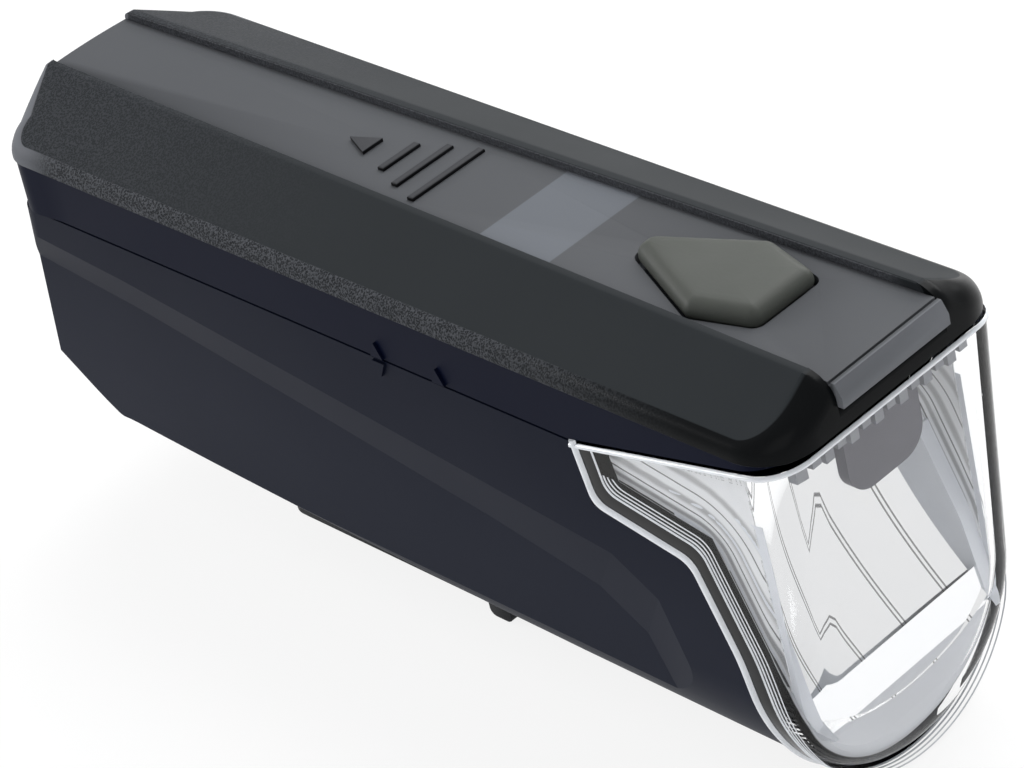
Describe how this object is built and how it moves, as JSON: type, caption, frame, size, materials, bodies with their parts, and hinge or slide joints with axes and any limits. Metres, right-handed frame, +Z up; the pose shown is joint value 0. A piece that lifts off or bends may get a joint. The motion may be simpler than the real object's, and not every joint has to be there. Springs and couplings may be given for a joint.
{
  "type": "bicycle headlight",
  "caption": "Long battery bicycle headlight with a sliding top cover, a push button, a wrap-round clear lens over a concave mirror and a slide-in mount rail underneath.",
  "frame": {"origin": "middle of the mount rail's underside", "axes": "+X forward along the beam, +Y to the light's left, +Z up from the rail to the top cover"},
  "size_m": [0.133, 0.036, 0.0579],
  "materials": {
    "housing_plastic": "fine matt, blue-black",
    "cover_plastic": "fine grained matt, dark grey",
    "panel_plastic": "satin grey",
    "button_silicone": "translucent silicone, grey-green",
    "lens_clear": "clear, polished",
    "seal_rubber": "soft black",
    "mirror_coat": "metallised, bright",
    "hood_plastic": "satin grey",
    "led_board_metal": "white coated",
    "led_body": "clear yellow",
    "sink_metal": "drawn",
    "board_laminate": "green lacquer",
    "screw_steel": "zinc plated",
    "switch_plastic": "black",
    "plunger_plastic": "cream",
    "cell_sleeve": "plain lacquered sleeve",
    "contact_metal": "nickel plated",
    "inner_plastic": "black",
    "positive_lead_sleeve": "red sleeve",
    "negative_lead_sleeve": "black sleeve",
    "rail_plastic": "fine matt, black"
  },
  "bodies": {
    "housing": {"lower_housing": "housing_plastic", "lens": "lens_clear", "lens_seal": "seal_rubber", "reflector": "mirror_coat", "led_hood": "hood_plastic", "led_board": "led_board_metal", "led_emitter": "led_body", "heat_sink": "sink_metal", "main_board": "board_laminate", "board_screws": "screw_steel", "push_switch": "switch_plastic", "status_led": "led_body", "driver_coil": "switch_plastic", "driver_chip": "switch_plastic", "reflector_screws": "screw_steel", "cell_1": "cell_sleeve", "cell_2": "cell_sleeve", "cell_3": "cell_sleeve", "cell_4": "cell_sleeve", "rear_contacts": "contact_metal", "front_contacts": "contact_metal", "rear_springs": "contact_metal", "front_springs": "contact_metal", "front_bulkhead": "inner_plastic", "positive_lead": "positive_lead_sleeve", "negative_lead": "negative_lead_sleeve", "mount_rail": "rail_plastic", "rail_screws": "screw_steel", "latch_pin": "screw_steel", "latch_spring": "contact_metal"},
    "cover": {"top_cover": "cover_plastic", "top_panel": "panel_plastic"},
    "button": {"power_button": "button_silicone"},
    "plunger": {"switch_plunger": "plunger_plastic"},
    "latch": {"release_latch": "rail_plastic"}
  },
  "joints": [
    {"name": "cover_slide", "type": "slide", "parent": "housing", "child": "cover", "axis": [1, 0, 0], "range_m": [-0.01, 0]},
    {"name": "button_press", "type": "slide", "parent": "cover", "child": "button", "axis": [0, 0, 1], "range_m": [-0.0006, 0], "stiffness_N_per_m": 1500},
    {"name": "plunger_press", "type": "slide", "parent": "housing", "child": "plunger", "axis": [0, 0, 1], "range_m": [-0.0006, 0]},
    {"name": "latch_turn", "type": "hinge", "parent": "housing", "child": "latch", "pos_m": [0.0205, 0, 0.0018], "axis": [0, 1, 0], "range_deg": [0, 7.5], "stiffness_Nm_per_rad": 0.05, "springref_deg": -5.73, "deforming": ["latch_spring"]}
  ],
  "couplings": [
    {"joint": "plunger_press", "follows": "button_press", "ratio": 1}
  ]
}
